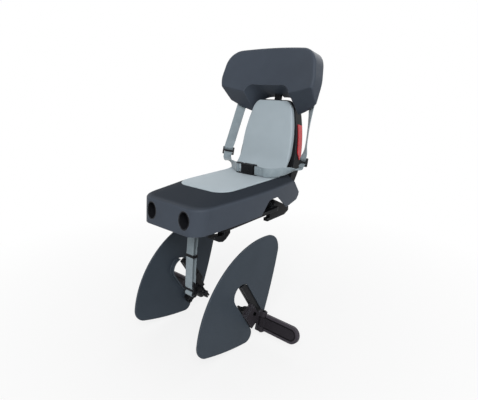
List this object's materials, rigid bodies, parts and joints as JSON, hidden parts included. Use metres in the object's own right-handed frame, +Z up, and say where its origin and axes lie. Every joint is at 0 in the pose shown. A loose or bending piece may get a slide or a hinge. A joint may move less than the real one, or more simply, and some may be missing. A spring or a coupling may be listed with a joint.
{
  "type": "child bike seat",
  "caption": "Rear child seat for a bicycle carrier: padded seat and back, height-adjustable headrest, harness with buckle, safety strap, wheel guards and folding footrests.",
  "frame": {"origin": "on the flat underside of the adapter plate, on the seat's centre line, where it rests on the carrier", "axes": "+Z up, the child faces -Y, the child's left is +X"},
  "size_m": [0.512, 0.5131, 0.7635],
  "materials": {
    "slate_shell": "satin moulded",
    "black_plastic": "satin",
    "footrest_plastic": "fine grain",
    "pad_foam": "smooth soft foam",
    "webbing": "woven webbing",
    "red_lens": "prismatic reflector",
    "steel": "zinc plated"
  },
  "bodies": {
    "seat": {"adapter_plate": "black_plastic", "back_bolts": "steel", "back_shell": "black_plastic", "buckle_body": "black_plastic", "buckle_tongue": "black_plastic", "clamp_bolt_left": "steel", "clamp_bolt_right": "steel", "footrest_rail_left": "black_plastic", "footrest_rail_right": "black_plastic", "ladder_lock": "black_plastic", "lap_belt_left": "webbing", "lap_belt_right": "webbing", "lever_pin": "steel", "lever_spring": "steel", "pad": "pad_foam", "plate_screws": "steel", "plunger_spring": "steel", "rail_screws_left": "steel", "rail_screws_right": "steel", "reflector_left": "red_lens", "reflector_right": "red_lens", "safety_strap": "webbing", "seat_base": "slate_shell", "shoulder_strap_left": "webbing", "shoulder_strap_right": "webbing", "socket_cup_left": "black_plastic", "socket_cup_right": "black_plastic", "socket_screws": "steel", "stay_clamp_left": "black_plastic", "stay_clamp_right": "black_plastic", "stay_screws_left": "steel", "stay_screws_right": "steel", "strap_adjuster_left": "black_plastic", "strap_adjuster_right": "black_plastic", "strap_keeper": "black_plastic", "wheel_guard_left": "slate_shell", "wheel_guard_right": "slate_shell"},
    "headrest": {"headrest_shell": "slate_shell", "headrest_bracket": "black_plastic", "bracket_screws": "steel", "headrest_stem": "black_plastic", "strap_guide_left": "black_plastic", "strap_guide_right": "black_plastic"},
    "height_lock": {"height_plunger": "black_plastic"},
    "latch": {"release_lever": "black_plastic"},
    "buckle_press": {"buckle_button": "black_plastic"},
    "left_bracket": {"footrest_bracket_left": "black_plastic", "lock_screw_left": "steel", "hinge_pin_left": "steel"},
    "left_footrest": {"footrest_left": "footrest_plastic"},
    "right_bracket": {"footrest_bracket_right": "black_plastic", "lock_screw_right": "steel", "hinge_pin_right": "steel"},
    "right_footrest": {"footrest_right": "footrest_plastic"}
  },
  "joints": [
    {"name": "headrest_height", "type": "slide", "parent": "seat", "child": "headrest", "axis": [0, 0.2504, 0.9681], "range_m": [0, 0.06]},
    {"name": "height_lock_push", "type": "slide", "parent": "seat", "child": "height_lock", "axis": [0, -0.9681, 0.2504], "range_m": [0, 0.005], "stiffness_N_per_m": 600, "deforming": ["plunger_spring"]},
    {"name": "latch_release", "type": "hinge", "parent": "seat", "child": "latch", "pos_m": [0, 0.096, 0.022], "axis": [1, 0, 0], "range_deg": [0, 18], "stiffness_Nm_per_rad": 2},
    {"name": "buckle_button_push", "type": "slide", "parent": "seat", "child": "buckle_press", "axis": [0, 1, 0], "range_m": [0, 0.0025], "stiffness_N_per_m": 800},
    {"name": "left_footrest_height", "type": "slide", "parent": "seat", "child": "left_bracket", "axis": [0, -0.5105, 0.8599], "range_m": [0, 0.045]},
    {"name": "left_footrest_fold", "type": "hinge", "parent": "left_bracket", "child": "left_footrest", "pos_m": [0.1394, -0.022, -0.275], "axis": [0, 0.2756, 0.9613], "range_deg": [0, 90]},
    {"name": "right_footrest_height", "type": "slide", "parent": "seat", "child": "right_bracket", "axis": [0, -0.5105, 0.8599], "range_m": [0, 0.045]},
    {"name": "right_footrest_fold", "type": "hinge", "parent": "right_bracket", "child": "right_footrest", "pos_m": [-0.1394, -0.022, -0.275], "axis": [0, -0.2756, -0.9613], "range_deg": [0, 90]}
  ]
}
